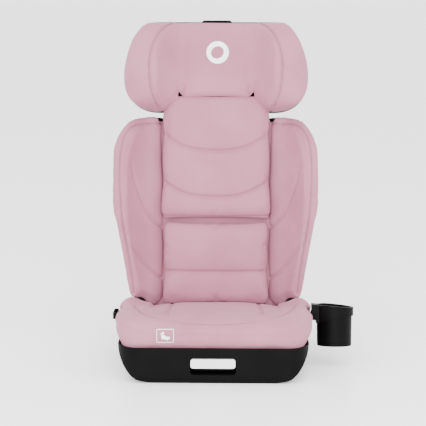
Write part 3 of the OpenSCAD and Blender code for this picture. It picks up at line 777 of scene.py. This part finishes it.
def make_wing(side, sign):
    node = "wing_pad_" + side
    wing = soft_piece("back_wing_" + side, (node,), mats["fabric"], 0.0042, 8, cap=0.004,
                      after=long_foot, settle=8)

    def turned(line):
        return [(sign * a, b) for a, b in line]

    seams = (wing_welt, wing_seam_upper, wing_seam_lower)
    lines = [spline(turned(seam), 0.006) for seam in seams]
    sewn(wing, "back", lines[:1], 0.0028, 0.0036, crown=0.001, reach=0.02)
    sewn(wing, "back", lines[1:], 0.0042, 0.0036, crown=0.0030, reach=0.03, fade=0.045)
    rumpled(wing, 11.0, 0.0009, 20.0 + sign)
    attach(wing, "backrest")
    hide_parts(node)
    tree = surface_tree(wing)
    piping("wing_welt_" + side, wing, tree, turned(wing_welt), "back", 0.0003)
    for number, line in enumerate(lines[1:]):
        stitches("wing_stitches_%s_%d" % (side, number), wing, tree, beside(line, 0.004 * sign),
                 "back")


liner_side = 0.142
liner_foot, liner_foot_low = 0.020, -0.014            # points under the first go down to the second


def make_liner():
    def widened(points):
        p = in_back(points * np.array([liner_side / np.abs(points[:, 0]).max(), 1.0, 1.0]))
        p[p[:, 2] < liner_foot, 2] = liner_foot_low
        return to_row(p)

    liner = soft_piece("back_liner_cover", ("back_liner",), mats["fabric"], 0.0042, 3, 2.0, 0.002,
                       before=widened)
    rumpled(liner, 20.0, 0.0008, 40.0)
    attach(liner, "backrest")
    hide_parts("back_liner")


# ---------------------------------------------------------------- seat cushion

seat_welt = mm([(-177, -22), (-172, -55), (-163, -85), (-152, -110), (-135, -140), (-112, -162),
                (-84, -175), (-45, -182), (0, -184), (45, -182), (84, -175), (112, -162),
                (135, -140), (152, -110), (163, -85), (172, -55), (177, -22)])
seat_side_seam = mm([(98, 72), (99, 20), (101, -30), (103, -80), (100, -120)])


rim_low, rim_high = 0.079, 0.090                      # heights between which the cover is let go
bolster_across = (108, 120, 140, 149, 157, 170, 184, 194)   # distances from the middle, in mm
bolster_fall = (0, 2, 6, 10, 15, 12, 5, 0)            # and how far the cover comes down there, in mm


def seat_rim(points):
    """1 at the lower edge, which stays on the casing's rim."""
    return 1.0 - smooth_step(points[:, 2], rim_low, rim_high)


def sloped_bolsters(points):
    """Lets the side bolsters fall away towards the middle at the rear."""
    x = np.abs(points[:, 0]) / MM
    fall = np.interp(x, bolster_across, bolster_fall)
    fall *= smooth_step(points[:, 1], -0.075, 0.010) * smooth_step(points[:, 2], 0.088, 0.104)
    moved = points.copy()
    moved[:, 2] -= fall * MM
    return moved


def make_seat():
    seat = soft_piece("seat_cushion_cover", ("seat_cover", "seat_foam"), mats["fabric"], 0.0048,
                      12, cap=0.004, keep=seat_rim, after=sloped_bolsters, grow=0.003)
    sewn(seat, "seat", [spline(seat_welt, 0.006)], 0.0034, 0.0040, crown=0.003, reach=0.02)
    side_seams = both(spline(seat_side_seam, 0.006))
    sewn(seat, "seat", side_seams, 0.0030, 0.0045, crown=0.0020, reach=0.02)
    rumpled(seat, 12.0, 0.0008, 60.0)
    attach(seat, "base")
    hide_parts("seat_cover", "seat_foam")
    tree = surface_tree(seat)
    piping("seat_welt", seat, tree, seat_welt, "seat", 0.0003)
    for side, line in zip(("right", "left"), both(seat_side_seam)):
        stitches("seat_stitches_" + side, seat, tree, beside(spline(line, 0.004), 0.004), "seat")
    return tree


# ---------------------------------------------------------------- patches

patch_edge = 0.004                                    # longest edge, so that a patch follows its cloth


def flat_patch(name, shapes, place, tree, direction, lift, thick=0.0006):
    """Flat shapes laid on a surface as thin patches.

    Each shape is a list of closed outlines in a plane: its edge, then its holes.
    """
    verts, faces = [], []
    reach = Vector(direction).normalized()
    for outline in shapes:
        work = bmesh.new()
        ring = [work.verts.new((a, b, 0)) for a, b in outline[0]]
        rings = [ring]
        work.faces.new(ring)
        for hole in outline[1:]:
            rings.append([work.verts.new((a, b, 0)) for a, b in hole])
        if len(rings) > 1:
            work.faces.remove(work.faces[:][0])
            edges = []
            for loop in rings:
                for i in range(len(loop)):
                    a, b = loop[i], loop[(i + 1) % len(loop)]
                    edges.append(work.edges.get((a, b)) or work.edges.new((a, b)))
            bmesh.ops.triangle_fill(work, use_beauty=True, edges=edges)
        bmesh.ops.triangulate(work, faces=work.faces[:])
        for _ in range(3):
            long = [e for e in work.edges if e.calc_length() > patch_edge]
            if long:
                bmesh.ops.subdivide_edges(work, edges=long, cuts=1)
                bmesh.ops.triangulate(work, faces=work.faces[:])
        start = len(verts)
        work.verts.index_update()
        for v in work.verts:
            p = Vector(place(v.co.x, v.co.y))
            hit, normal, _, _ = tree.ray_cast(p - reach * ray_start, reach)
            if hit is None:
                hit, normal = p, -reach
            if normal.dot(reach) > 0:
                normal = -normal
            verts.append(tuple(hit + normal * lift))
        faces += [tuple(start + v.index for v in f.verts) for f in work.faces]
        work.free()
    mesh = bpy.data.meshes.new(name)
    mesh.from_pydata(verts, [], faces)
    piece = new_piece(name, mesh, mats["patch"])
    solid = piece.modifiers.new("thickness", "SOLIDIFY")
    solid.thickness = thick
    solid.offset = 0
    return piece


def ellipse(a, b, cx=0.0, cy=0.0, n=40, turn=0.0):
    """A closed outline with half-axes a and b round (cx, cy), turned by an angle."""
    out = []
    for k in range(n):
        t = 2 * math.pi * k / n
        x, y = a * math.cos(t), b * math.sin(t)
        out.append((cx + x * math.cos(turn) - y * math.sin(turn),
                    cy + x * math.sin(turn) + y * math.cos(turn)))
    return out


def frame_outline(half_a, half_b, r, n=5):
    """A closed rectangle with round corners."""
    out = []
    for cx, cy, t0 in ((1, 1, 0), (-1, 1, 90), (-1, -1, 180), (1, -1, 270)):
        for k in range(n + 1):
            t = math.radians(t0 + 90 * k / n)
            out.append((cx * (half_a - r) + r * math.cos(t), cy * (half_b - r) + r * math.sin(t)))
    return out


badge_x, badge_w, badge_radius = 0.003, 0.584, 0.0257


def make_badge(tree):
    """A plain round badge with an oval window."""
    def place(a, b):
        return on_back(badge_x + a, 0.0, badge_w + b)

    window = ellipse(0.0150, 0.0135, -0.0005, 0.0, 32, 0.7)
    shapes = [[ellipse(badge_radius, badge_radius), window]]
    badge = flat_patch("round_badge", shapes, place, tree, rear, 0.0008)
    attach(badge, "headrest")
    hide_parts("badge_patch")


label_x, label_z = -0.0995, 0.104


def make_label(tree):
    """A printed belt-routing label without words: a frame, a seated figure and a belt."""
    def place(a, b):
        return (label_x + a, 0.0, label_z + b)

    shapes = [
        [frame_outline(0.0180, 0.0140, 0.0020), frame_outline(0.0170, 0.0130, 0.0012)],
        [ellipse(0.0026, 0.0026, -0.0045, 0.0068, 16)],
        [[(-0.0085, 0.0030), (-0.0020, 0.0036), (0.0010, -0.0014), (0.0088, -0.0010),
          (0.0100, -0.0062), (-0.0020, -0.0074), (-0.0080, -0.0050)]],
        [[(-0.0110, 0.0060), (-0.0096, 0.0066), (0.0060, -0.0086), (0.0050, -0.0096)]],
    ]
    label = flat_patch("routing_label", shapes, place, tree, (0, 1, 0), 0.0006, 0.0004)
    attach(label, "base")
    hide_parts("label_patch")


# ---------------------------------------------------------------- CAD nodes left showing

finish_of_node = {
    "base_shell": "black", "bottom_cover": "black", "base_screws": "steel", "seat_pan": "inner",
    "seat_foam": "foam", "seat_cover": "fabric", "label_patch": "patch",
    "lap_belt_guide_left": "inner", "lap_belt_guide_right": "inner",
    "cup_socket_left": "inner", "cup_socket_right": "inner",
    "hinge_bracket_left": "inner", "hinge_bracket_right": "inner", "hinge_pins": "steel",
    "connector_housing_left": "inner", "connector_housing_right": "inner",
    "handle_bezel": "black", "pawl_guide": "inner", "carriage_crossbar": "dark_steel",
    "connector_arm_left": "dark_steel", "connector_arm_right": "dark_steel",
    "jaw_pins": "steel", "jaw_left": "steel", "jaw_right": "steel",
    "release_button_left": "red", "release_button_right": "red",
    "pull_handle": "grey", "handle_rod": "steel", "handle_spring": "steel", "lock_pawl": "steel",
    "back_shell": "black", "back_foam": "foam", "back_liner": "fabric", "lumbar_pad": "pad",
    "wing_pad_left": "fabric", "wing_pad_right": "fabric",
    "guide_rail_left": "inner", "guide_rail_right": "inner", "rack_plate": "steel",
    "back_screws": "steel", "headrest_shell": "black", "headrest_foam": "inner",
    "headrest_center_pad": "pad", "headrest_wing_left": "fabric", "headrest_wing_right": "fabric",
    "headrest_stem": "inner", "upper_back_pad": "pad",
    "belt_guide_left": "inner", "belt_guide_right": "inner", "badge_patch": "patch",
    "headrest_screws": "steel", "adjuster_handle": "black", "adjuster_spring": "steel",
    "latch_pin": "steel", "cup_bracket": "black", "cup": "black",
}


def dress_nodes():
    for name, obj in nodes.items():
        obj.data.materials.clear()
        obj.data.materials.append(mats[finish_of_node[name]])


# ---------------------------------------------------------------- everything together

mats = make_materials()
make_camera()
make_lights()
make_floor()
dress_nodes()
headrest_tree = make_headrest()
make_upper_pad()
make_lumbar_pad()
make_wing("left", -1)
make_wing("right", 1)
make_liner()
seat_tree = make_seat()
make_badge(headrest_tree)
make_label(seat_tree)
